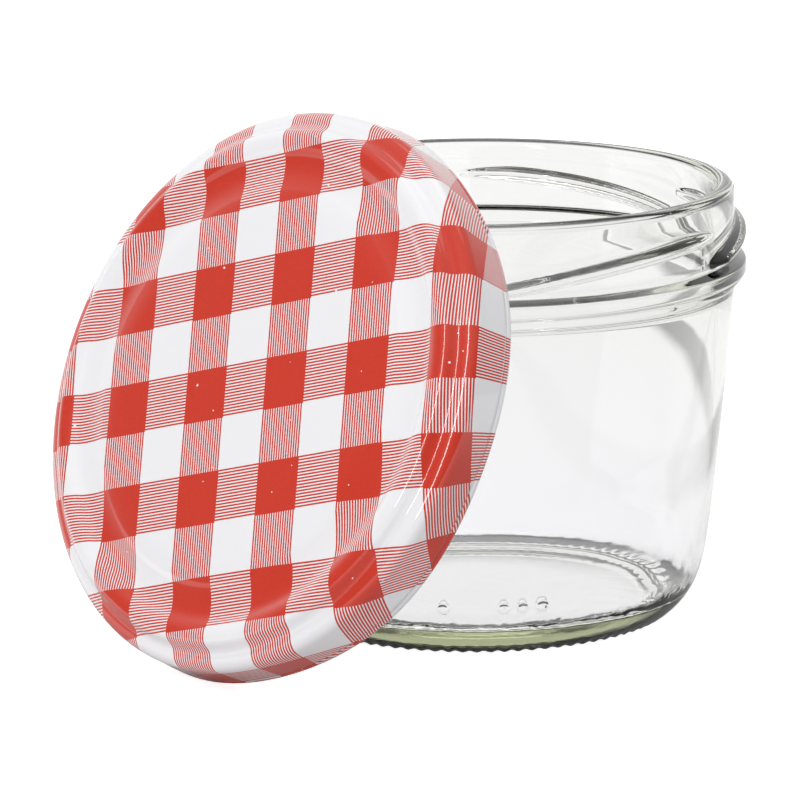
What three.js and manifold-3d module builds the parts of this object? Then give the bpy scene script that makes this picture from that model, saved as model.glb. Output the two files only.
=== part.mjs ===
// An empty canning jar of clear glass, with its printed twist-off lid leaning on the rim.
// Millimetres, +Z up. The jar stands upright, and the lid stands on its edge on the jar's -Y side.
import * as THREE from 'three'
import { mergeVertices } from 'three/addons/utils/BufferGeometryUtils.js'
import Module from 'manifold-3d'

const wasm = await Module()
wasm.setup()

// Jar: driving dimensions
const jarHeight = 66.3
const lipRadius = 39.3 // outside of the mouth
const lipWall = 3
const beadRadius = 41.15
const beadMiddle = 53.4 // height of the bead under the closure
const beadFoot = beadMiddle - 4 // where the taper runs out into the bead's lower slope
const neckBottom = 56.4 // the plain stretch of neck that carries the thread
const neckTop = 63.2
const heelTop = 12 // where the rounded heel runs into the tapered body
const heelRadius = 35.42
const bodyPull = [36.78, 21.1] // gives the taper its slight curve
const bodyWall = 1.22 // at the heel's top, from where it thickens up to the lip
const bearingRadius = 29.4 // outer edge of the flat ring that the jar stands on
const bearingWidth = 1
const puntRadius = 24
const puntDepth = 1.5 // the underside inside the bearing ring is raised this much
const floorRadius = 28 // flat part of the inner floor
const floorThickness = 2.7

// Screw closure: six starts, each a short rising lug
const lugCount = 6
const lugSweep = 59 // degrees that one lug runs round
const lugPhase = -43 // degrees, where the first lug starts, at its low end
const lugLow = 57.4
const lugRise = 4.1
const lugHeight = 1.8
const lugHalfWidth = 1.4

// Small raised dots on the heel
const dotRadius = 1.05
const dotHeight = 0.6
const dotLevel = 8
const dotSetback = 0.72 // how much closer to the axis the heel is at the dots than at its top
const dotAngles = [-53.1, -38.3, -33.6, -28.7]

// Lid: driving dimensions
const sheet = 0.3
const panelRadius = 29.3 // flat middle
const grooveRadius = 33.4
const grooveDepth = 0.7
const risePoint = [35.4, -0.25] // half way up from the groove to the crest
const crestRadius = 37.6
const crestHeight = 0.25
const stepTop = [39.1, -0.6]
const stepFoot = [40.3, -1.5]
const shoulderDepth = 1.8
const skirtRadius = 42.3
const skirtTop = 3.4 // down from the panel
const rimRadius = 42.6 // outside of the rolled edge
const curlRadius = 0.9
const lidDepth = 10.3 // from the panel to the open edge
const rimBulge = 0.3 // the edge stands out between its lugs and is drawn in at them
const lidLugCount = 6
const lidLugPhase = -6 // degrees, from the level line through the lid's middle
const lidLugWidth = 7 // degrees to each side
const lidLugReach = 2.1

// Sealing compound: its section under the raised ring, as radius and height below the panel
const sealSection = [
  [34.9, -1.5],
  [36.2, -0.75],
  [38, -0.5],
  [38.6, -1.1],
  [39.1, -1.9],
  [40.6, -2.3],
  [40.4, -2.8],
  [38, -2.1],
  [35.4, -2],
]

// How the lid leans
const lean = 23.7 // degrees from upright
const lidAside = 4.3
const lidAhead = -51.1

const jarSegments = 72
const neckRows = 9
const lidSegments = 72
const sealSegments = 36

function onPath(build, divisions) {
  const path = new THREE.Path()
  build(path)
  return path.getPoints(divisions)
}

// A body of revolution about Z from a closed profile of (radius, height) points
function turned(profile, segments) {
  return new THREE.LatheGeometry(profile, segments).rotateX(Math.PI / 2)
}

// Joins the vertices that share a place and drops the triangles that this leaves without area
function welded(geometry) {
  geometry.deleteAttribute('normal')
  geometry.deleteAttribute('uv')
  const merged = mergeVertices(geometry, 1e-3)
  const kept = []
  const index = merged.index.array
  for (let k = 0; k < index.length; k += 3) {
    const [a, b, c] = [index[k], index[k + 1], index[k + 2]]
    if (a !== b && b !== c && c !== a) kept.push(a, b, c)
  }
  merged.setIndex(kept)
  return merged
}

function toManifold(geometry) {
  const clean = welded(geometry)
  return new wasm.Manifold(new wasm.Mesh({
    numProp: 3,
    vertProperties: new Float32Array(clean.attributes.position.array),
    triVerts: new Uint32Array(clean.index.array),
  }))
}

function fromManifold(body) {
  const mesh = body.getMesh()
  const geometry = new THREE.BufferGeometry()
  geometry.setAttribute('position', new THREE.Float32BufferAttribute(mesh.vertProperties, 3))
  geometry.setIndex([...mesh.triVerts])
  return geometry
}

function part(name, geometry, colour, roughness, metalness, opacity = 1) {
  const flat = geometry.toNonIndexed()
  flat.computeVertexNormals()
  const look = { color: colour, roughness, metalness, opacity, transparent: opacity < 1 }
  const mesh = new THREE.Mesh(flat, new THREE.MeshStandardMaterial(look))
  mesh.name = name
  return mesh
}

// Glass, from the middle of the underside round the outside and over the lip to the inner floor
function glassProfile() {
  const bearingInner = bearingRadius - bearingWidth
  const innerLip = lipRadius - lipWall
  const innerHeel = heelRadius - bodyWall
  const floorTop = floorThickness + puntDepth
  const heelPull = [heelRadius - dotSetback, heelTop / 2]
  const underside = onPath((path) => {
    path.moveTo(0, puntDepth + 0.1)
    path.lineTo(puntRadius, puntDepth)
    path.quadraticCurveTo(puntRadius + 3.6, puntDepth - 0.1, bearingInner, 0)
    path.lineTo(bearingRadius, 0)
  }, 3)
  const heel = onPath((path) => {
    path.moveTo(bearingRadius, 0)
    path.bezierCurveTo(bearingRadius + 3.6, heelTop * 0.2, ...heelPull, heelRadius, heelTop)
  }, 6)
  const taper = onPath((path) => {
    path.moveTo(heelRadius, heelTop)
    path.quadraticCurveTo(...bodyPull, lipRadius, beadFoot)
  }, 3)
  const bead = onPath((path) => {
    path.moveTo(lipRadius, beadFoot)
    path.quadraticCurveTo(lipRadius + 0.15, beadFoot + 1.2, beadRadius - 1.05, beadMiddle - 2.1)
    path.lineTo(beadRadius - 0.4, beadMiddle - 1.3)
    path.quadraticCurveTo(beadRadius, beadMiddle - 0.8, beadRadius, beadMiddle - 0.2)
    path.lineTo(beadRadius, beadMiddle + 0.7)
    path.quadraticCurveTo(beadRadius, beadMiddle + 1.15, beadRadius - 0.35, beadMiddle + 1.3)
    path.lineTo(lipRadius + 0.6, beadMiddle + 1.75)
    path.quadraticCurveTo(lipRadius, beadMiddle + 2, lipRadius, neckBottom)
  }, 2)
  const neck = Array.from({ length: neckRows + 1 }, (_, row) => (
    new THREE.Vector2(lipRadius, neckBottom + ((neckTop - neckBottom) * row) / neckRows)))
  const lip = onPath((path) => {
    path.absarc(lipRadius - lipWall / 2, jarHeight - lipWall / 2, lipWall / 2, 0, Math.PI)
  }, 3)
  const inside = onPath((path) => {
    path.moveTo(innerLip, beadMiddle - 3)
    path.quadraticCurveTo(innerLip - 0.2, 2 * heelTop, innerHeel, heelTop)
    path.bezierCurveTo(innerHeel - 0.7, heelTop / 2, floorRadius + 4.8, floorTop, floorRadius, floorTop)
    path.lineTo(0, floorTop + 0.1)
  }, 4)
  return [...underside, ...heel.slice(1), ...taper.slice(1), ...bead.slice(1, -1), ...neck, ...lip, ...inside]
}

// How far the thread stands out of the neck at an angle in degrees and a height: each lug rises
// with its turn and sinks into the wall at both ends, sooner at its high end
function threadRelief(angle, height) {
  const pitch = 360 / lugCount
  const along = (((((angle - lugPhase) % pitch) + pitch) % pitch)) / lugSweep
  if (along > 1) return 0
  const lowEnd = THREE.MathUtils.smoothstep(along, -0.01, 0.22)
  const highEnd = THREE.MathUtils.smoothstep(1 - along, -0.06, 0.24)
  const across = Math.abs(height - lugLow - lugRise * along) / lugHalfWidth
  return lugHeight * (lowEnd * highEnd) ** 0.7 * (1 - THREE.MathUtils.smoothstep(across, 0.28, 1))
}

function threaded(geometry) {
  const position = geometry.attributes.position
  for (let k = 0; k < position.count; k += 1) {
    const [x, y, z] = [position.getX(k), position.getY(k), position.getZ(k)]
    const radius = Math.hypot(x, y)
    if (radius < lipRadius - 0.01 || z < neckBottom || z > neckTop) continue
    const moved = radius + threadRelief(THREE.MathUtils.radToDeg(Math.atan2(y, x)), z)
    position.setXY(k, (x * moved) / radius, (y * moved) / radius)
  }
  return geometry
}

function dot(angle) {
  const button = new THREE.CylinderGeometry(dotRadius * 0.6, dotRadius, 2 * dotHeight, 8)
  button.rotateZ(-Math.PI / 2).translate(heelRadius - dotSetback, 0, dotLevel)
  return button.rotateZ(THREE.MathUtils.degToRad(angle))
}

function glassJar() {
  let body = toManifold(threaded(turned(glassProfile(), jarSegments)))
  for (const angle of dotAngles) body = body.add(toManifold(dot(angle)))
  return fromManifold(body)
}

// Outside of the lid's sheet, from the middle of the panel to the skirt, along the lid's own axis
function lidOutline() {
  return onPath((path) => {
    path.moveTo(0, 0)
    path.lineTo(panelRadius, 0)
    path.quadraticCurveTo(grooveRadius - 1.9, -grooveDepth, grooveRadius, -grooveDepth)
    path.quadraticCurveTo(grooveRadius + 1.3, -grooveDepth, ...risePoint)
    path.quadraticCurveTo(crestRadius - 1.3, crestHeight, crestRadius, crestHeight)
    path.quadraticCurveTo(crestRadius + 1, crestHeight, ...stepTop)
    path.quadraticCurveTo(stepTop[0] + 0.5, stepFoot[1] + 0.1, ...stepFoot)
    path.quadraticCurveTo(skirtRadius - 0.1, -shoulderDepth, skirtRadius, -skirtTop)
  }, 2)
}

function lidProfile() {
  const outside = lidOutline()
  const inside = outside.map((point, k) => {
    const before = outside[Math.max(k - 1, 0)]
    const after = outside[Math.min(k + 1, outside.length - 1)]
    const tangent = after.clone().sub(before).normalize()
    return new THREE.Vector2(Math.max(point.x + tangent.y * sheet, 0), point.y - tangent.x * sheet)
  })
  inside[0].set(0, -sheet)
  const curlCentre = new THREE.Vector2(rimRadius - curlRadius, curlRadius - lidDepth)
  const curl = onPath((path) => {
    path.absarc(curlCentre.x, curlCentre.y, curlRadius, 0.2, -Math.PI - 0.9, true)
  }, 6)
  const stem = new THREE.Vector2(skirtRadius - sheet, curlCentre.y + curlRadius * 0.9)
  return [...outside, ...curl, stem, ...inside.reverse()].reverse()
}

// The edge runs in gentle waves, and at each lug the rolled edge reaches inwards
function workedEdge(geometry) {
  const position = geometry.attributes.position
  const pitch = 360 / lidLugCount
  for (let k = 0; k < position.count; k += 1) {
    const [x, y, z] = [position.getX(k), position.getY(k), position.getZ(k)]
    const radius = Math.hypot(x, y)
    const down = THREE.MathUtils.smoothstep(-z, skirtTop, lidDepth - curlRadius)
    if (down === 0 || radius < skirtRadius - 3) continue
    const angle = THREE.MathUtils.radToDeg(Math.atan2(y, x)) - lidLugPhase
    const offset = ((((angle + pitch / 2) % pitch) + pitch) % pitch) - pitch / 2
    const wave = -Math.cos(THREE.MathUtils.degToRad(offset * lidLugCount))
    const inLug = THREE.MathUtils.smoothstep(lidLugWidth - Math.abs(offset), -2, 2)
    const inner = THREE.MathUtils.smoothstep(rimRadius - curlRadius - radius, -0.2, curlRadius)
    const atCurl = z < 2 * curlRadius - lidDepth ? 1 : 0
    const moved = radius + down * rimBulge * wave - atCurl * inLug * inner * lidLugReach
    position.setXY(k, (x * moved) / radius, (y * moved) / radius)
  }
  return geometry
}

function lid() {
  return welded(workedEdge(turned(lidProfile(), lidSegments)))
}

function sealingRing() {
  const profile = sealSection.map(([radius, height]) => new THREE.Vector2(radius, height))
  profile.push(profile[0].clone())
  return welded(turned(profile.reverse(), sealSegments))
}

const jarGroup = new THREE.Group()
jarGroup.add(part('jar', glassJar(), 0xe6ebe6, 0.03, 0, 0.35))

const lidGroup = new THREE.Group()
lidGroup.add(part('lid', lid(), 0xd84227, 0.3, 0.1))
lidGroup.add(part('sealing_ring', sealingRing(), 0xe9e4d6, 0.55, 0))
lidGroup.rotation.x = Math.PI / 2 - THREE.MathUtils.degToRad(lean)
lidGroup.position.set(lidAside, lidAhead, 0)
lidGroup.updateMatrixWorld(true)
lidGroup.position.z = -new THREE.Box3().setFromObject(lidGroup, true).min.z

// The origin is on the floor under the middle of jar and lid together
const canningJar = new THREE.Group()
canningJar.add(jarGroup, lidGroup)
canningJar.updateMatrixWorld(true)
const middle = new THREE.Box3().setFromObject(canningJar, true).getCenter(new THREE.Vector3())
canningJar.position.set(-middle.x, -middle.y, 0)

export default canningJar
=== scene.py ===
import math
import bpy
from mathutils import Matrix, Vector


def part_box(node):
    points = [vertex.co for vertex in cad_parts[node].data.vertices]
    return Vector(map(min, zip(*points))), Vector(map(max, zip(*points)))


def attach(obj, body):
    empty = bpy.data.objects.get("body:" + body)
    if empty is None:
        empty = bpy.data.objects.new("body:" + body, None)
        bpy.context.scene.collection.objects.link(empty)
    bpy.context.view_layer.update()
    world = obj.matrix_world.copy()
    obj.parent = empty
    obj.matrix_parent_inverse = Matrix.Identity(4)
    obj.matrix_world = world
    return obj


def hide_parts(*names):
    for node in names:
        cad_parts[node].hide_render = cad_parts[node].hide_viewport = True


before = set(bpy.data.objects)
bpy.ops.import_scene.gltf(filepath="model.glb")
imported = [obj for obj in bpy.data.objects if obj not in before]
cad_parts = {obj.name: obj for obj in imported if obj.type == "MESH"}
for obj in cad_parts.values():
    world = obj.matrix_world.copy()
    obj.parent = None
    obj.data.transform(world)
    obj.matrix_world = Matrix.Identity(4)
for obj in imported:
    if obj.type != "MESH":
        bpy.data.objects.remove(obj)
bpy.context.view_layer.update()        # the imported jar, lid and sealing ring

scene = bpy.context.scene
mm = 0.001
print("frame loaded")


# Outlines: lists of (radius, height) in millimetres

def straight(start, end, steps):
    return [tuple(a + (b - a) * k / steps for a, b in zip(start, end)) for k in range(steps + 1)]


def bend(start, pull, end, steps):
    points = []
    for k in range(steps + 1):
        t = k / steps
        weights = ((1 - t) ** 2, 2 * t * (1 - t), t ** 2)
        points.append(tuple(sum(w * p[i] for w, p in zip(weights, (start, pull, end))) for i in (0, 1)))
    return points


def sweepBend(start, pullA, pullB, end, steps):
    points = []
    for k in range(steps + 1):
        t = k / steps
        weights = ((1 - t) ** 3, 3 * t * (1 - t) ** 2, 3 * t * t * (1 - t), t ** 3)
        corners = (start, pullA, pullB, end)
        points.append(tuple(sum(w * p[i] for w, p in zip(weights, corners)) for i in (0, 1)))
    return points


def roundCorner(centre, radius, fromDegrees, toDegrees, steps):
    points = []
    for k in range(steps + 1):
        turn = math.radians(fromDegrees + (toDegrees - fromDegrees) * k / steps)
        points.append((centre[0] + radius * math.cos(turn), centre[1] + radius * math.sin(turn)))
    return points


def joined(*runs):
    outline = []
    for run in runs:
        for point in run:
            if not outline or math.dist(outline[-1], point) > 1e-4:
                outline.append(point)
    return outline


def turnedMesh(name, outline, angles, closed=False):
    # Spins an outline round Z: points on the axis become poles, and a closed outline becomes a ring
    vertices, rows = [], []
    for radius, height in outline:
        if radius < 1e-6:
            rows.append([len(vertices)])
            vertices.append((0.0, 0.0, height * mm))
            continue
        rows.append(list(range(len(vertices), len(vertices) + len(angles))))
        vertices += [(radius * mm * math.cos(a), radius * mm * math.sin(a), height * mm) for a in angles]
    faces = []
    pairs = list(zip(rows, rows[1:])) + ([(rows[-1], rows[0])] if closed else [])
    for lower, upper in pairs:
        for k in range(len(angles)):
            after = (k + 1) % len(angles)
            corners = [lower[k % len(lower)], lower[after % len(lower)],
                       upper[after % len(upper)], upper[k % len(upper)]]
            faces.append(list(dict.fromkeys(corners)))
    mesh = bpy.data.meshes.new(name)
    mesh.from_pydata(vertices, [], faces)
    mesh.shade_smooth()
    return mesh


def evenAngles(count):
    return [2 * math.pi * k / count for k in range(count)]


def addPiece(name, mesh):
    piece = bpy.data.objects.new(name, mesh)
    scene.collection.objects.link(piece)
    return piece


def settle(piece, place):
    # Turns what the modifier makes into a plain mesh and puts it in its place
    bpy.context.view_layer.update()
    graph = bpy.context.evaluated_depsgraph_get()
    finished = bpy.data.meshes.new_from_object(piece.evaluated_get(graph))
    piece.modifiers.clear()
    piece.data = finished
    finished.transform(place)
    finished.name = piece.name


# Node helpers for shader and geometry trees

def feed(tree, value, socket):
    if isinstance(value, bpy.types.NodeSocket):
        tree.links.new(value, socket)
    else:
        socket.default_value = value


def calc(tree, operation, a, b=0.0, c=0.0, clamp=False):
    node = tree.nodes.new("ShaderNodeMath")
    node.operation = operation
    node.use_clamp = clamp
    for value, socket in zip((a, b, c), node.inputs):
        feed(tree, value, socket)
    return node.outputs[0]


def smoothStep(tree, value, low, high):
    node = tree.nodes.new("ShaderNodeMapRange")
    node.interpolation_type = "SMOOTHSTEP"
    feed(tree, value, node.inputs["Value"])
    feed(tree, low, node.inputs["From Min"])
    feed(tree, high, node.inputs["From Max"])
    return node.outputs["Result"]


def product(tree, first, *others):
    for other in others:
        first = calc(tree, "MULTIPLY", first, other)
    return first


def inverted(tree, mask):
    return calc(tree, "SUBTRACT", 1.0, mask)


def window(tree, value, rise, fall):
    # A mask that is 1 between the end of the rise and the start of the fall
    return product(tree, smoothStep(tree, value, *rise), inverted(tree, smoothStep(tree, value, *fall)))


def distance(tree, a, b):
    return calc(tree, "SQRT", calc(tree, "ADD", calc(tree, "POWER", a, 2.0), calc(tree, "POWER", b, 2.0)))


def geometryTree(name, sizes):
    tree = bpy.data.node_groups.new(name, "GeometryNodeTree")
    tree.interface.new_socket("Geometry", in_out="INPUT", socket_type="NodeSocketGeometry")
    for label, value in sizes.items():
        socket = tree.interface.new_socket(label, in_out="INPUT", socket_type="NodeSocketFloat")
        socket.default_value = value
    tree.interface.new_socket("Geometry", in_out="OUTPUT", socket_type="NodeSocketGeometry")
    start = tree.nodes.new("NodeGroupInput")
    return tree, start.outputs


def finishTree(tree, geometry, material=None):
    realize = tree.nodes.new("GeometryNodeRealizeInstances")
    tree.links.new(geometry, realize.inputs[0])
    end = tree.nodes.new("NodeGroupOutput")
    if material is None:
        tree.links.new(realize.outputs[0], end.inputs[0])
        return
    paint = tree.nodes.new("GeometryNodeSetMaterial")
    paint.inputs["Material"].default_value = material
    tree.links.new(realize.outputs[0], paint.inputs["Geometry"])
    tree.links.new(paint.outputs[0], end.inputs[0])


def runTree(piece, tree, sizes):
    modifier = piece.modifiers.new(tree.name, "NODES")
    modifier.node_group = tree
    for item in tree.interface.items_tree:
        if item.item_type == "SOCKET" and item.in_out == "INPUT" and item.name in sizes:
            modifier[item.identifier] = float(sizes[item.name])


def placeParts(tree):
    # The point's radius, angle in degrees and height in millimetres, and its direction from the axis
    position = tree.nodes.new("GeometryNodeInputPosition").outputs[0]
    apart = tree.nodes.new("ShaderNodeSeparateXYZ")
    tree.links.new(position, apart.inputs[0])
    x, y, z = apart.outputs
    flat = distance(tree, x, y)
    radius = calc(tree, "DIVIDE", flat, mm)
    angle = calc(tree, "DEGREES", calc(tree, "ARCTAN2", y, x))
    height = calc(tree, "DIVIDE", z, mm)
    outward = tree.nodes.new("ShaderNodeCombineXYZ")
    tree.links.new(calc(tree, "DIVIDE", x, flat), outward.inputs[0])
    tree.links.new(calc(tree, "DIVIDE", y, flat), outward.inputs[1])
    return radius, angle, height, outward.outputs[0]


def movePoints(tree, geometry, outward, reach, rise):
    # Moves each point outwards by reach and upwards by rise, both in millimetres
    scaled = tree.nodes.new("ShaderNodeVectorMath")
    scaled.operation = "SCALE"
    tree.links.new(outward, scaled.inputs[0])
    feed(tree, calc(tree, "MULTIPLY", reach, mm), scaled.inputs["Scale"])
    lift = tree.nodes.new("ShaderNodeCombineXYZ")
    feed(tree, calc(tree, "MULTIPLY", rise, mm), lift.inputs[2])
    both = tree.nodes.new("ShaderNodeVectorMath")
    both.operation = "ADD"
    tree.links.new(scaled.outputs[0], both.inputs[0])
    tree.links.new(lift.outputs[0], both.inputs[1])
    move = tree.nodes.new("GeometryNodeSetPosition")
    tree.links.new(geometry, move.inputs["Geometry"])
    tree.links.new(both.outputs[0], move.inputs["Offset"])
    return move.outputs[0]


# Materials

def newMaterial(name):
    material = bpy.data.materials.new(name)
    material.use_nodes = True
    tree = material.node_tree
    return material, tree, tree.nodes["Principled BSDF"]


def addNoise(tree, coordinate, scale, detail=2.0, roughness=0.5):
    noise = tree.nodes.new("ShaderNodeTexNoise")
    noise.inputs["Scale"].default_value = scale
    noise.inputs["Detail"].default_value = detail
    noise.inputs["Roughness"].default_value = roughness
    tree.links.new(coordinate, noise.inputs["Vector"])
    return noise.outputs[0]


def addBump(tree, shader, height, strength, distance):
    bump = tree.nodes.new("ShaderNodeBump")
    bump.inputs["Strength"].default_value = strength
    bump.inputs["Distance"].default_value = distance
    tree.links.new(height, bump.inputs["Height"])
    tree.links.new(bump.outputs[0], shader.inputs["Normal"])


def makeRippleGroup():
    # Soft unevenness of a surface, shared by the glass, the lacquer and the sealing compound
    group = bpy.data.node_groups.new("surfaceRipple", "ShaderNodeTree")
    for label, value in (("Broad Scale", 40.0), ("Fine Scale", 300.0), ("Fine Share", 0.2)):
        group.interface.new_socket(label, in_out="INPUT", socket_type="NodeSocketFloat").default_value = value
    group.interface.new_socket("Height", in_out="OUTPUT", socket_type="NodeSocketFloat")
    start = group.nodes.new("NodeGroupInput")
    end = group.nodes.new("NodeGroupOutput")
    place = group.nodes.new("ShaderNodeTexCoord").outputs["Object"]
    layers = []
    for label in ("Broad Scale", "Fine Scale"):
        noise = group.nodes.new("ShaderNodeTexNoise")
        noise.inputs["Detail"].default_value = 1.5
        group.links.new(place, noise.inputs["Vector"])
        group.links.new(start.outputs[label], noise.inputs["Scale"])
        layers.append(noise.outputs[0])
    fine = calc(group, "MULTIPLY", layers[1], start.outputs["Fine Share"])
    group.links.new(calc(group, "ADD", layers[0], fine), end.inputs["Height"])
    return group


rippleGroup = makeRippleGroup()


def addRipple(tree, broad, fine, share):
    node = tree.nodes.new("ShaderNodeGroup")
    node.node_tree = rippleGroup
    for label, value in (("Broad Scale", broad), ("Fine Scale", fine), ("Fine Share", share)):
        node.inputs[label].default_value = value
    return node.outputs["Height"]


# Jar

jar = {
    "height": 66.3, "lipRadius": 39.3, "lipWall": 3.0, "partingLine": 0.05,
    "beadRadius": 41.15, "beadMiddle": 53.4, "neckBottom": 56.4, "neckTop": 63.2,
    "heelTop": 12.0, "heelRadius": 35.42, "bodyPull": (36.78, 21.1), "bodyWall": 1.22,
    "bearingRadius": 29.4, "bearingWidth": 1.0,
    "floorThickness": 2.7, "floorEdge": 30.3, "puntDepth": 1.5, "puntEdge": 24,
    # Angle, height and radius of each small dot on the heel
    "dots": ((-53.1, 8.0, 0.93), (-38.3, 8.0, 1.0), (-33.6, 8.1, 0.88), (-28.7, 8.15, 1.05)),
    "dotRows": (6.9, 9.3), "dotColumns": 10, "seamColumns": 4, "columnStep": 0.2,
    "seamAngles": (14.6, 194.6), "seamFade": (60.2, 61.0),
    "innerCorner": (32.5, 4.9), "cornerReach": 5.0,
    "columns": 440,
}
glass = {
    "surface": (0.98, 0.975, 0.995), "refraction": 1.52,
    "depth": (0.34, 0.4, 0.0), "density": 20.0,                 # the thick base looks olive
    "ripple": 0.05, "broadRipple": 55, "fineRipple": 380, "fineShare": 0.12,
    "cornerGrain": 1300, "cornerShare": 2.4,                    # the pressed inner corner is finely uneven
}
relief = {
    "Lug Count": 6, "Lug Sweep": 59, "Lug Start": -41.5, "Lug Low": 56.0, "Lug Rise": 4.5, "Lug Curve": 1.7,
    "Lug Height": 1.8, "Lug Upper Flank": 1.65, "Lug Lower Flank": 0.95,
    "Notch Count": 88, "Notch Depth": 0.28, "Notch Top": 2.5,
    "Dot Flatness": 0.85, "Dot Height": 1.0, "Dot Roundness": 1.21,
    "Seam Height": 0.035, "Seam Half Width": 0.45,
    "Corner Waves": 0.4, "Corner Ripples": 0.26,
}


def makeGlass():
    material, tree, shader = newMaterial("clearGlass")
    shader.inputs["Base Color"].default_value = (*glass["surface"], 1)
    shader.inputs["Roughness"].default_value = 0.0
    shader.inputs["IOR"].default_value = glass["refraction"]
    shader.inputs["Transmission Weight"].default_value = 1.0
    corner = tree.nodes.new("ShaderNodeAttribute")
    corner.attribute_name = "innerCorner"
    grain = addNoise(tree, tree.nodes.new("ShaderNodeTexCoord").outputs["Object"], glass["cornerGrain"])
    grain = product(tree, corner.outputs["Fac"], glass["cornerShare"], grain)
    ripple = addRipple(tree, glass["broadRipple"], glass["fineRipple"], glass["fineShare"])
    addBump(tree, shader, calc(tree, "ADD", ripple, grain), glass["ripple"], 0.0004)
    depth = tree.nodes.new("ShaderNodeVolumeAbsorption")
    depth.inputs["Color"].default_value = (*glass["depth"], 1)
    depth.inputs["Density"].default_value = glass["density"]
    tree.links.new(depth.outputs[0], tree.nodes["Material Output"].inputs["Volume"])
    return material


def jarMiddle():
    lowest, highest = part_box("jar")
    return [(low + high) / 2 for low, high in zip(lowest[:2], highest[:2])]


def jarOutline():
    lip, wall = jar["lipRadius"], jar["lipWall"]
    bead, middle = jar["beadRadius"], jar["beadMiddle"]
    bearing, punt, puntEdge = jar["bearingRadius"], jar["puntDepth"], jar["puntEdge"]
    bearingInner = bearing - jar["bearingWidth"]
    heel = (jar["heelRadius"], jar["heelTop"])
    inner = heel[0] - jar["bodyWall"]
    floorTop, floorEdge = jar["floorThickness"] + punt, jar["floorEdge"]
    underside = joined(
        straight((0, punt + 0.1), (puntEdge, punt), 2),
        bend((puntEdge, punt), (27.6, punt - 0.1), (bearingInner, 0), 6),
        straight((bearingInner, 0), (bearing, 0), 2))
    heelRun = sweepBend((bearing, 0), (33, 2.4), (34.7, 6), heel, 110)
    fineFrom, fineTo = jar["dotRows"]
    body = joined(
        [point for k, point in enumerate(heelRun) if k % 5 == 0 or fineFrom < point[1] < fineTo],
        bend(heel, jar["bodyPull"], (lip, middle - 4), 10))
    beadRun = joined(
        bend((lip, middle - 4), (lip + 0.15, middle - 2.8), (bead - 1.05, middle - 2.1), 6),
        straight((bead - 1.05, middle - 2.1), (bead - 0.4, middle - 1.3), 2),
        bend((bead - 0.4, middle - 1.3), (bead, middle - 0.8), (bead, middle - 0.2), 5),
        straight((bead, middle - 0.2), (bead, middle + 0.7), 2),
        bend((bead, middle + 0.7), (bead, middle + 1.15), (bead - 0.35, middle + 1.3), 5),
        straight((bead - 0.35, middle + 1.3), (lip + 0.6, middle + 1.75), 3),
        bend((lip + 0.6, middle + 1.75), (lip, middle + 2), (lip, jar["neckBottom"]), 6))
    neck = straight((lip, jar["neckBottom"]), (lip, jar["neckTop"]), 26)
    middleOfRim = (lip - wall / 2, jar["height"] - wall / 2)
    rim = joined(                                               # with the fine parting line of the mould
        roundCorner(middleOfRim, wall / 2, 0, 20.5, 3),
        roundCorner(middleOfRim, wall / 2 + jar["partingLine"], 23, 24, 1),
        roundCorner(middleOfRim, wall / 2, 26.5, 180, 16))
    inside = joined(
        straight((lip - wall, jar["height"] - wall / 2), (lip - wall, middle - 3), 3),
        bend((lip - wall, middle - 3), (lip - wall - 0.2, 2 * heel[1]), (inner, heel[1]), 9),
        sweepBend((inner, heel[1]), (inner - 0.8, 5.6), (32.9, floorTop), (floorEdge, floorTop), 24),
        straight((floorEdge, floorTop), (0, floorTop + 0.1), 5))
    outside = joined(underside, body, beadRun, neck, rim)
    return joined(outside, inside), len(outside)


def jarAngles():
    # Even columns, with finer ones across each small dot and mould seam
    angles = {round(360 * k / jar["columns"], 3) for k in range(jar["columns"])}
    fine = [(dot[0], jar["dotColumns"]) for dot in jar["dots"]]
    fine += [(turn, jar["seamColumns"]) for turn in jar["seamAngles"]]
    for middle, reach in fine:
        angles |= {round((middle + jar["columnStep"] * k) % 360, 3) for k in range(-reach, reach + 1)}
    kept = []
    for angle in sorted(angles):
        if not kept or angle - kept[-1] > 0.08:
            kept.append(angle)
    return [math.radians(angle) for angle in kept]


def markCorner(mesh, outline, outsideRows, columns):
    # How near each point of the inside is to the corner between wall and floor, from 0 to 1
    corner = mesh.attributes.new("innerCorner", "FLOAT", "POINT")
    index = 0
    for row, (radius, height) in enumerate(outline):
        count = 1 if radius < 1e-6 else columns
        share = max(0.0, 1.0 - math.dist((radius, height), jar["innerCorner"]) / jar["cornerReach"])
        if row >= outsideRows and share > 0:
            for k in range(index, index + count):
                corner.data[k].value = share * share * (3 - 2 * share)
        index += count


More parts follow.
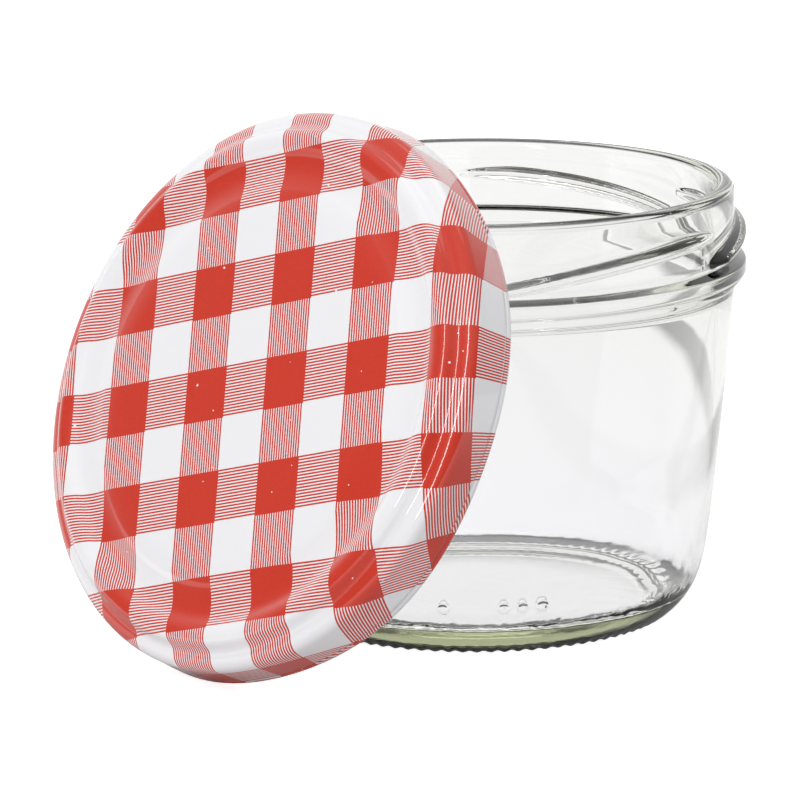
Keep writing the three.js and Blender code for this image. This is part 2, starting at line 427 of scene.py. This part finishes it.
def threadHeight(tree, sizes, angle, height):
    # Six lugs that climb round the neck, each with thinned ends
    pitch = calc(tree, "DIVIDE", 360.0, sizes["Lug Count"])
    turned = calc(tree, "FLOORED_MODULO", calc(tree, "SUBTRACT", angle, sizes["Lug Start"]), pitch)
    along = calc(tree, "DIVIDE", turned, sizes["Lug Sweep"])
    lowEnd = smoothStep(tree, along, -0.04, 0.07)
    highEnd = smoothStep(tree, inverted(tree, along), -0.06, 0.24)
    ends = calc(tree, "POWER", product(tree, lowEnd, highEnd), 0.7)
    left = calc(tree, "SUBTRACT", 1.0, along, clamp=True)
    climbed = inverted(tree, calc(tree, "POWER", left, sizes["Lug Curve"]))
    middle = calc(tree, "MULTIPLY_ADD", sizes["Lug Rise"], climbed, sizes["Lug Low"])
    off = calc(tree, "SUBTRACT", height, middle)
    thinned = calc(tree, "MULTIPLY_ADD", ends, 0.6, 0.4)
    above = calc(tree, "DIVIDE", off, product(tree, sizes["Lug Upper Flank"], thinned))
    below = calc(tree, "DIVIDE", off, product(tree, sizes["Lug Lower Flank"], thinned))
    across = calc(tree, "MAXIMUM", above, product(tree, below, -1.0))
    ridge = inverted(tree, smoothStep(tree, across, 0.15, 1.0))
    aboveBead = smoothStep(tree, height, jar["neckBottom"] - 0.9, jar["neckBottom"])
    return product(tree, ridge, ends, aboveBead, sizes["Lug Height"])


def dotHeight(tree, sizes, angle, height):
    arc = math.radians(jar["heelRadius"] - 0.7)                 # millimetres of wall in a degree
    edgeHeight = calc(tree, "SQRT", calc(tree, "SUBTRACT", sizes["Dot Roundness"], 1.0))
    dots = 0.0
    for turn, level, size in jar["dots"]:
        aside = product(tree, calc(tree, "SUBTRACT", angle, turn), arc)
        above = calc(tree, "DIVIDE", calc(tree, "SUBTRACT", height, level), sizes["Dot Flatness"])
        share = calc(tree, "DIVIDE", distance(tree, aside, above), size)
        under = calc(tree, "SUBTRACT", sizes["Dot Roundness"], calc(tree, "POWER", share, 2.0), clamp=True)
        dots = calc(tree, "ADD", dots, calc(tree, "SUBTRACT", calc(tree, "SQRT", under), edgeHeight, clamp=True))
    return product(tree, dots, sizes["Dot Height"])


def notchDepth(tree, sizes, radius, angle, height):
    bearing = jar["bearingRadius"]
    wave = calc(tree, "COSINE", calc(tree, "RADIANS", product(tree, angle, sizes["Notch Count"])))
    valley = calc(tree, "MULTIPLY_ADD", wave, -0.5, 0.5)
    onRing = window(tree, radius, (bearing - 1.4, bearing - 0.6), (bearing, bearing + 1.9))
    low = calc(tree, "LESS_THAN", height, sizes["Notch Top"])
    return product(tree, valley, onRing, low, sizes["Notch Depth"])


def seamHeight(tree, sizes, angle, height):
    seams = 0.0
    for turn in jar["seamAngles"]:
        apart = calc(tree, "WRAP", calc(tree, "SUBTRACT", angle, turn), 180.0, -180.0)
        aside = product(tree, calc(tree, "ABSOLUTE", apart), math.radians(jar["lipRadius"]))
        line = inverted(tree, smoothStep(tree, aside, 0.0, sizes["Seam Half Width"]))
        seams = calc(tree, "ADD", seams, line)
    span = window(tree, height, (jar["neckBottom"] - 0.7, jar["neckBottom"]), jar["seamFade"])
    return product(tree, seams, span, sizes["Seam Height"])


def cornerUnevenness(tree, sizes):
    # The inner corner, where wall turns into floor, was pressed unevenly
    corner = tree.nodes.new("GeometryNodeInputNamedAttribute")
    corner.data_type = "FLOAT"
    corner.inputs["Name"].default_value = "innerCorner"
    place = tree.nodes.new("GeometryNodeInputPosition").outputs[0]
    waves = calc(tree, "SUBTRACT", addNoise(tree, place, 70.0, 1.0), 0.5)
    ripples = calc(tree, "SUBTRACT", addNoise(tree, place, 420.0, 2.0), 0.5)
    uneven = calc(tree, "ADD", product(tree, waves, sizes["Corner Waves"]),
                  product(tree, ripples, sizes["Corner Ripples"]))
    return product(tree, uneven, corner.outputs[0])


def makeJarTree(material):
    # Raises the thread, the seams, the dots and the notches on the turned glass
    tree, sizes = geometryTree("mouldedRelief", relief)
    radius, angle, height, outward = placeParts(tree)
    onNeck = calc(tree, "GREATER_THAN", radius, jar["lipRadius"] - 0.01)
    onWall = calc(tree, "GREATER_THAN", radius, jar["heelRadius"] - 2.2)
    neck = calc(tree, "MAXIMUM", threadHeight(tree, sizes, angle, height), seamHeight(tree, sizes, angle, height))
    dots = product(tree, dotHeight(tree, sizes, angle, height), onWall)
    uneven = cornerUnevenness(tree, sizes)
    reach = calc(tree, "ADD", calc(tree, "ADD", product(tree, neck, onNeck), dots), uneven)
    rise = calc(tree, "SUBTRACT", notchDepth(tree, sizes, radius, angle, height), uneven)
    finishTree(tree, movePoints(tree, sizes["Geometry"], outward, reach, rise), material)
    return tree


def makeJar():
    outline, outsideRows = jarOutline()
    angles = jarAngles()
    mesh = turnedMesh("glassJar", outline, angles)
    markCorner(mesh, outline, outsideRows, len(angles))
    piece = addPiece("glassJar", mesh)
    runTree(piece, makeJarTree(makeGlass()), relief)
    settle(piece, Matrix.Translation((*jarMiddle(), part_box("jar")[0][2])))
    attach(piece, "root")
    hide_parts("jar")
    print("jar made:", len(piece.data.polygons), "faces")


# Lid

lidSizes = {
    "sheet": 0.3, "panelRadius": 29.3, "grooveRadius": 33.4, "grooveDepth": 0.7,
    "crestRadius": 37.6, "crestHeight": 0.25, "shoulderDepth": 1.8, "skirtRadius": 42.3, "skirtTop": 3.4,
    "rimRadius": 42.6, "curlRadius": 0.9, "depth": 9.75,
    "lean": 23.7, "aside": 3.4, "ahead": -50.6,
    "columns": 432,
    "check": 7.95, "printTurn": 16.74, "printAside": 3.518, "printUp": 4.439,
}
edge = {
    "Lug Phase": -6, "Lug Width": 7, "Lug Reach": 2.1, "Bulge": 0.3,
    "Depth": lidSizes["depth"], "Curl Radius": lidSizes["curlRadius"], "Rim Radius": lidSizes["rimRadius"],
    "Skirt Radius": lidSizes["skirtRadius"], "Skirt Top": lidSizes["skirtTop"],
}
finish = {
    "red": (0.63, 0.03, 0.008), "white": (0.9, 0.895, 0.915), "lacquer": (0.86, 0.84, 0.78),
    "lines": 17, "acrossShare": 0.56, "downShare": 0.62, "pinholes": (0.865, 0.88), "unevenInk": 0.14,
}


def lidOutside():
    groove, deep = lidSizes["grooveRadius"], lidSizes["grooveDepth"]
    crest, high = lidSizes["crestRadius"], lidSizes["crestHeight"]
    skirt, shoulder = lidSizes["skirtRadius"], lidSizes["shoulderDepth"]
    curlTop = (lidSizes["rimRadius"] - 0.05, 1.75 * lidSizes["curlRadius"] - lidSizes["depth"])
    return joined(
        straight((0, 0), (lidSizes["panelRadius"], 0), 8),
        bend((lidSizes["panelRadius"], 0), (groove - 1.9, -deep), (groove, -deep), 8),
        bend((groove, -deep), (groove + 1.3, -deep), (35.4, -0.25), 6),
        bend((35.4, -0.25), (36.3, high), (crest, high), 6),
        bend((crest, high), (38.6, high), (39.1, -0.6), 6),
        bend((39.1, -0.6), (39.6, -1.4), (40.3, -1.5), 6),
        bend((40.3, -1.5), (skirt - 0.1, -shoulder), (skirt, -lidSizes["skirtTop"]), 12),
        straight((skirt, -lidSizes["skirtTop"]), curlTop, 12))


def lidOutline():
    # The printed outside, the rolled edge and the lacquered inside, with where the print ends
    outside = lidOutside()
    centre = (lidSizes["rimRadius"] - lidSizes["curlRadius"], lidSizes["curlRadius"] - lidSizes["depth"])
    roll = roundCorner(centre, lidSizes["curlRadius"], 40, -205, 22)
    inside = []
    for k, point in enumerate(outside):
        before, after = outside[max(k - 1, 0)], outside[min(k + 1, len(outside) - 1)]
        run = Vector((after[0] - before[0], after[1] - before[1])).normalized()
        if point[1] > centre[1] + 1.2:
            inside.append((max(point[0] + run.y * lidSizes["sheet"], 0), point[1] - run.x * lidSizes["sheet"]))
    inside[0] = (0, -lidSizes["sheet"])
    printed = joined(outside, roll[:12])
    return joined(printed, roll[12:], inside[::-1]), len(printed)


def sheetRadii(outline):
    # How far from the middle each point lay on the flat sheet, as drawing it keeps the sheet's area
    radii = [0.0]
    for before, after in zip(outline, outline[1:]):
        ring = (before[0] + after[0]) * math.dist(before, after)
        radii.append(math.sqrt(radii[-1] ** 2 + ring))
    return radii


def makeEdgeTree():
    # Gives the skirt its gentle waves and draws the rolled edge in at each lug
    tree, sizes = geometryTree("lidEdge", edge)
    radius, angle, height, outward = placeParts(tree)
    downFrom = calc(tree, "SUBTRACT", sizes["Depth"], sizes["Curl Radius"])
    down = smoothStep(tree, product(tree, height, -1.0), sizes["Skirt Top"], downFrom)
    onSkirt = calc(tree, "GREATER_THAN", radius, calc(tree, "SUBTRACT", sizes["Skirt Radius"], 3.0))
    turned = calc(tree, "ADD", calc(tree, "SUBTRACT", angle, sizes["Lug Phase"]), 30.0)
    offset = calc(tree, "SUBTRACT", calc(tree, "FLOORED_MODULO", turned, 60.0), 30.0)
    wave = calc(tree, "COSINE", calc(tree, "RADIANS", product(tree, offset, 6.0)))
    bulge = product(tree, wave, -1.0, sizes["Bulge"])
    beside = calc(tree, "SUBTRACT", sizes["Lug Width"], calc(tree, "ABSOLUTE", offset))
    inLug = smoothStep(tree, beside, -2.0, 2.0)
    inward = calc(tree, "SUBTRACT", calc(tree, "SUBTRACT", sizes["Rim Radius"], sizes["Curl Radius"]), radius)
    inner = smoothStep(tree, inward, -0.2, sizes["Curl Radius"])
    curlTop = calc(tree, "SUBTRACT", product(tree, sizes["Curl Radius"], 2.0), sizes["Depth"])
    atCurl = inverted(tree, smoothStep(tree, height, curlTop, calc(tree, "ADD", curlTop, 0.5)))
    lug = product(tree, inLug, inner, atCurl, sizes["Lug Reach"])
    reach = product(tree, calc(tree, "SUBTRACT", product(tree, down, bulge), lug), onSkirt)
    finishTree(tree, movePoints(tree, sizes["Geometry"], outward, reach, 0.0))
    return tree


def makePrint():
    # Gingham: solid red where two bands cross, fine red lines along a single band, white between
    material, tree, shader = newMaterial("ginghamPrint")
    sheetMap = tree.nodes.new("ShaderNodeUVMap")
    sheetMap.uv_map = "sheet"
    apart = tree.nodes.new("ShaderNodeSeparateXYZ")
    tree.links.new(sheetMap.outputs[0], apart.inputs[0])
    bands, lines = [], []
    for socket, share in ((apart.outputs[0], finish["downShare"]), (apart.outputs[1], finish["acrossShare"])):
        half = calc(tree, "FRACT", product(tree, socket, 0.5))
        bands.append(calc(tree, "LESS_THAN", half, 0.5))
        within = calc(tree, "FRACT", product(tree, socket, float(finish["lines"])))
        lines.append(calc(tree, "LESS_THAN", within, share))
    single = [product(tree, band, line) for band, line in zip(bands, lines)]
    ink = calc(tree, "MAXIMUM", product(tree, *bands), calc(tree, "MAXIMUM", *single))

    grain = addNoise(tree, tree.nodes.new("ShaderNodeTexCoord").outputs["Object"], 2600, 3.0, 0.7)
    speck = addNoise(tree, sheetMap.outputs[0], 9.0, 0.0)
    worn = smoothStep(tree, speck, *finish["pinholes"])         # a few pinholes in the ink
    ink = product(tree, ink, inverted(tree, worn))
    red = tree.nodes.new("ShaderNodeMix")
    red.data_type = "RGBA"
    for socket, scale in (("A", 1 - finish["unevenInk"]), ("B", 1 + finish["unevenInk"])):
        red.inputs[socket].default_value = (*[value * scale for value in finish["red"]], 1)
    tree.links.new(grain, red.inputs["Factor"])
    colour = tree.nodes.new("ShaderNodeMix")
    colour.data_type = "RGBA"
    colour.inputs["A"].default_value = (*finish["white"], 1)
    tree.links.new(red.outputs["Result"], colour.inputs["B"])
    tree.links.new(ink, colour.inputs["Factor"])
    tree.links.new(colour.outputs["Result"], shader.inputs["Base Color"])
    tree.links.new(calc(tree, "MULTIPLY_ADD", ink, -0.08, 0.42), shader.inputs["Roughness"])
    shader.inputs["Specular IOR Level"].default_value = 0.2
    shader.inputs["Coat Weight"].default_value = 1.0
    shader.inputs["Coat Roughness"].default_value = 0.04
    addBump(tree, shader, addRipple(tree, 90, 900, 0.25), 0.04, 0.0002)
    return material


def makeLacquer():
    material, tree, shader = newMaterial("lidLacquer")
    shader.inputs["Base Color"].default_value = (*finish["lacquer"], 1)
    shader.inputs["Roughness"].default_value = 0.28
    shader.inputs["Coat Weight"].default_value = 0.4
    shader.inputs["Coat Roughness"].default_value = 0.1
    addBump(tree, shader, addRipple(tree, 120, 700, 0.3), 0.05, 0.0002)
    return material


def addSheetMap(mesh, outline, columns, printedRows):
    radii = sheetRadii(outline)
    turn = math.radians(lidSizes["printTurn"])
    layer = mesh.uv_layers.new(name="sheet")
    places = []
    for row, (radius, _) in enumerate(outline):
        count = 1 if radius < 1e-6 else columns
        places += [(row, 2 * math.pi * k / columns) for k in range(count)]
    for loop in mesh.loops:
        row, angle = places[loop.vertex_index]
        x, y = radii[row] * math.cos(angle), radii[row] * math.sin(angle)
        across = (x * math.cos(turn) + y * math.sin(turn)) / lidSizes["check"]
        up = (y * math.cos(turn) - x * math.sin(turn)) / lidSizes["check"]
        layer.data[loop.index].uv = (across + lidSizes["printAside"], lidSizes["printUp"] - up)
    for face in mesh.polygons:
        face.material_index = 0 if max(places[k][0] for k in face.vertices) < printedRows else 1


def lidPlace():
    x, y = jarMiddle()
    tilt = Matrix.Rotation(math.radians(90 - lidSizes["lean"]), 4, "X")
    return Matrix.Translation((x + lidSizes["aside"] * mm, y + lidSizes["ahead"] * mm, 0)) @ tilt


def makeLid():
    outline, printedRows = lidOutline()
    mesh = turnedMesh("printedLid", outline, evenAngles(lidSizes["columns"]))
    mesh.flip_normals()
    addSheetMap(mesh, outline, lidSizes["columns"], printedRows)
    mesh.materials.append(makePrint())
    mesh.materials.append(makeLacquer())
    piece = addPiece("printedLid", mesh)
    runTree(piece, makeEdgeTree(), edge)
    place = lidPlace()
    settle(piece, place)
    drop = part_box("lid")[0][2] - min(vertex.co.z for vertex in piece.data.vertices)
    lift = Matrix.Translation((0, 0, drop))
    piece.data.transform(lift)
    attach(piece, "root")
    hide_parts("lid")
    print("lid made:", len(piece.data.polygons), "faces")
    return lift @ place


# Sealing compound in the channel under the raised ring

seal = {"inner": 34.7, "outer": 40.9, "columns": 240, "colour": (0.8, 0.77, 0.68), "unevenness": 0.05}


def makeSeal(place):
    outline = joined(
        [(seal["inner"], -1.15), (35.6, -0.75), (36.6, -0.3), (37.6, -0.18), (38.3, -0.4)],
        [(38.8, -1.1), (39.4, -1.75), (40.4, -1.95)],
        bend((seal["outer"], -2.1), (seal["outer"] + 0.2, -2.9), (40.1, -2.75), 4),
        bend((40.1, -2.75), (38.6, -2.1), (37.4, -1.95), 5),
        bend((37.4, -1.95), (35.6, -1.8), (seal["inner"] - 0.1, -1.6), 5))
    mesh = turnedMesh("sealingRing", outline[::-1], evenAngles(seal["columns"]), closed=True)
    for vertex in mesh.vertices:
        turn = math.atan2(vertex.co.y, vertex.co.x)
        if vertex.co.z < -1.5 * mm:
            vertex.co.z += seal["unevenness"] * mm * (math.sin(7 * turn) + 0.6 * math.sin(19 * turn + 1))
    mesh.transform(place)
    material, tree, shader = newMaterial("sealingCompound")
    shader.inputs["Base Color"].default_value = (*seal["colour"], 1)
    shader.inputs["Roughness"].default_value = 0.5
    shader.inputs["Subsurface Weight"].default_value = 0.1
    addBump(tree, shader, addRipple(tree, 150, 1200, 0.4), 0.2, 0.0002)
    mesh.materials.append(material)
    piece = addPiece("sealingRing", mesh)
    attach(piece, "root")
    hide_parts("sealing_ring")
    print("sealing ring made")


# Floor, light and camera

studio = {
    "halfFloor": 6.0, "floor": (0.7, 0.7, 0.705), "floorDarkThroughGlass": (0.04, 0.04, 0.04),
    "glow": 0.8, "glowThrough": 0.97, "glowBelow": 0.05, "glowUnder": 0.3, "glowGloss": 0.7,
    "under": (0.06, 0.11), "shallow": (0.3, 0.43), "grazing": (0.6, 0.9), "front": (-1.2, -0.9),
    "darkStripeStart": (0.088, 0.113), "darkStripeEnd": (0.15, 0.175), "darkStripeDepth": 0.7,
    "skyLow": 0.33, "skyHigh": 0.75, "backdrop": 0.65, "ramp": (20, 50), "behind": (0.15, 0.6),
    "azimuth": 46.06, "elevation": 12.235, "roll": -0.5,
    "place": (0.5802, -0.5652, 0.2102), "lens": 247.3,
}


def makeFloor():
    # A pale floor that is lit from within; through the glass it shows a painted reflection and a painted dimmer
    # stripe at each side that only glass sees
    mesh = bpy.data.meshes.new("studioFloor")
    half = studio["halfFloor"]
    mesh.from_pydata([(-half, -half, 0), (half, -half, 0), (half, half, 0), (-half, half, 0)], [], [(0, 1, 2, 3)])
    material, tree, shader = newMaterial("studioFloor")
    shader.inputs["Roughness"].default_value = 0.9
    turn = tree.nodes.new("ShaderNodeMapping")
    turn.inputs["Rotation"].default_value = (0, 0, -math.radians(studio["azimuth"]))
    tree.links.new(tree.nodes.new("ShaderNodeTexCoord").outputs["Object"], turn.inputs["Vector"])
    apart = tree.nodes.new("ShaderNodeSeparateXYZ")
    tree.links.new(turn.outputs[0], apart.inputs[0])
    side, back = apart.outputs[0], apart.outputs[1]
    # Painted shade: a dimmer stripe at each side of the view axis, seen only through the glass
    paintedDarkStripe = window(tree, calc(tree, "ABSOLUTE", side), studio["darkStripeStart"], studio["darkStripeEnd"])
    # Painted shade: far in front, on the camera side, the floor's glow seen through the glass and in reflections
    # fades out
    front = smoothStep(tree, back, *studio["front"])

    # Painted reflection: seen through the glass, the floor glows bright at a low angle and dim from above,
    # standing in for polished acrylic that mirrors a bright backdrop
    seen = tree.nodes.new("ShaderNodeLightPath").outputs
    facing = tree.nodes.new("ShaderNodeLayerWeight").outputs["Facing"]
    shallow = smoothStep(tree, facing, *studio["shallow"])
    under = inverted(tree, smoothStep(tree, facing, *studio["under"]))          # painted glow on the floor under the heel, seen steeply through the glass
    steep = calc(tree, "MULTIPLY_ADD", under, studio["glowUnder"], studio["glowBelow"])
    through = calc(tree, "MULTIPLY_ADD", shallow, calc(tree, "SUBTRACT", studio["glowThrough"], steep), steep)
    darkStripeShade = calc(tree, "MULTIPLY_ADD", paintedDarkStripe, -studio["darkStripeDepth"], 1.0)
    through = product(tree, through, darkStripeShade, front, seen["Is Transmission Ray"])
    # Painted reflection: reflection rays that don't pass through the glass see the floor glow at grazing angles
    reflected = calc(tree, "SUBTRACT", seen["Is Glossy Ray"], seen["Is Transmission Ray"], clamp=True)
    paintedReflectionGlow = product(tree, smoothStep(tree, facing, *studio["grazing"]), front, studio["glowGloss"], reflected)
    glow = calc(tree, "MULTIPLY_ADD", seen["Is Camera Ray"], studio["glow"], calc(tree, "ADD", through, paintedReflectionGlow))

    # Painted shade: seen through the glass the floor's own colour is nearly black, so only its painted glow shows
    # there
    paint = tree.nodes.new("ShaderNodeMix")
    paint.data_type = "RGBA"
    paint.inputs["A"].default_value = (*studio["floor"], 1)
    paint.inputs["B"].default_value = (*studio["floorDarkThroughGlass"], 1)
    tree.links.new(seen["Is Transmission Ray"], paint.inputs["Factor"])
    tree.links.new(paint.outputs["Result"], shader.inputs["Base Color"])
    shader.inputs["Emission Color"].default_value = (1, 1, 1, 1)
    tree.links.new(glow, shader.inputs["Emission Strength"])
    mesh.materials.append(material)
    addPiece("studioFloor", mesh)


def addLight(name, place, target, size, power):
    data = bpy.data.lights.new(name, "AREA")
    data.shape = "RECTANGLE"
    data.size, data.size_y = size
    data.energy = power
    lamp = bpy.data.objects.new(name, data)
    lamp.location = place
    lamp.rotation_euler = (Vector(target) - Vector(place)).to_track_quat("-Z", "Y").to_euler()
    scene.collection.objects.link(lamp)


def makeWorld():
    # A soft dome: bright overhead and behind, dim at the sides, which gives the glass its dark edges
    world = bpy.data.worlds.new("studio")
    world.use_nodes = True
    tree = world.node_tree
    apart = tree.nodes.new("ShaderNodeSeparateXYZ")
    tree.links.new(tree.nodes.new("ShaderNodeTexCoord").outputs["Generated"], apart.inputs[0])
    rise = smoothStep(tree, apart.outputs[2], *[math.sin(math.radians(angle)) for angle in studio["ramp"]])
    strength = calc(tree, "MULTIPLY_ADD", rise, studio["skyHigh"] - studio["skyLow"], studio["skyLow"])
    turn = math.radians(studio["azimuth"])
    backward = calc(tree, "MULTIPLY_ADD", apart.outputs[0], -math.sin(turn),
                    product(tree, apart.outputs[1], math.cos(turn)))
    behind = product(tree, smoothStep(tree, backward, *studio["behind"]), inverted(tree, rise))
    strength = calc(tree, "MULTIPLY_ADD", behind, studio["backdrop"], strength)
    background = tree.nodes["Background"]
    background.inputs["Color"].default_value = (1, 1, 1, 1)
    tree.links.new(strength, background.inputs["Strength"])
    scene.world = world


def makeLights():
    addLight("stripKey", (0.24, -1.12, 0.66), (0, -0.04, 0.04), (0.12, 0.95), 6.6)
    addLight("topFill", (-0.1, 0.1, 1.3), (0, 0, 0), (0.8, 0.8), 2.0)


def makeCamera():
    data = bpy.data.cameras.new("photoView")
    data.lens = studio["lens"]
    data.sensor_width = 36
    data.clip_start = 0.01
    camera = bpy.data.objects.new("photoView", data)
    turn = Matrix.Rotation(math.radians(studio["azimuth"]), 4, "Z")
    pitch = Matrix.Rotation(math.radians(90 - studio["elevation"]), 4, "X")
    roll = Matrix.Rotation(math.radians(studio["roll"]), 4, "Z")
    camera.matrix_world = Matrix.Translation(studio["place"]) @ turn @ pitch @ roll
    scene.collection.objects.link(camera)
    scene.camera = camera


makeCamera()
makeFloor()
makeWorld()
makeLights()
makeJar()
makeSeal(makeLid())
scene.view_settings.view_transform = "Standard"
